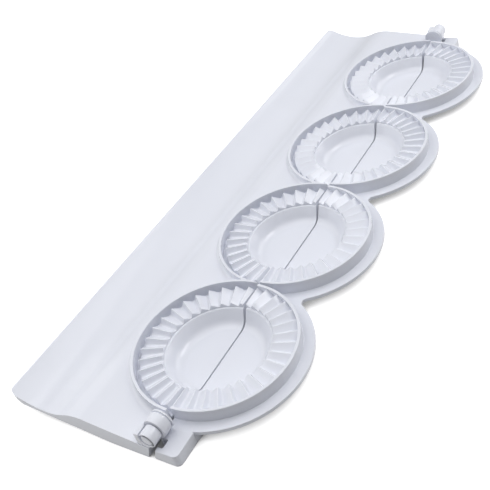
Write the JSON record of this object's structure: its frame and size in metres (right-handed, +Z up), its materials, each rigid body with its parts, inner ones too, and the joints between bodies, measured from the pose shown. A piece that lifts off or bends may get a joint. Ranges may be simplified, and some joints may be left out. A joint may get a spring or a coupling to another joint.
{
  "type": "empanada press",
  "caption": "Long two-part hinged dough press: half cups with pleated sealing rims fold over a matching tray, with a curved handle wing along one side.",
  "frame": {"origin": "centre of the open press's bounding box at table level", "axes": "+X along the hinge line, +Y from the tray half to the handle wing, +Z up out of the cups"},
  "size_m": [0.395, 0.1446, 0.0201],
  "materials": {
    "white_plastic": "glossy injection-moulded white plastic"
  },
  "bodies": {
    "tray_half": {"tray_flange": "white_plastic", "near_hinge_lug": "white_plastic", "far_hinge_lug": "white_plastic", "near_hinge_pin": "white_plastic", "far_hinge_pin": "white_plastic", "tray_cup_1": "white_plastic", "tray_cup_2": "white_plastic", "tray_cup_3": "white_plastic", "tray_cup_4": "white_plastic"},
    "handle_half": {"handle_plate": "white_plastic", "near_hinge_clip": "white_plastic", "far_hinge_clip": "white_plastic", "handle_cup_1": "white_plastic", "handle_cup_2": "white_plastic", "handle_cup_3": "white_plastic", "handle_cup_4": "white_plastic"}
  },
  "joints": [
    {"name": "fold", "type": "hinge", "parent": "tray_half", "child": "handle_half", "pos_m": [0, -0.02225, 0.014], "axis": [1, 0, 0], "range_deg": [0, 180]}
  ]
}
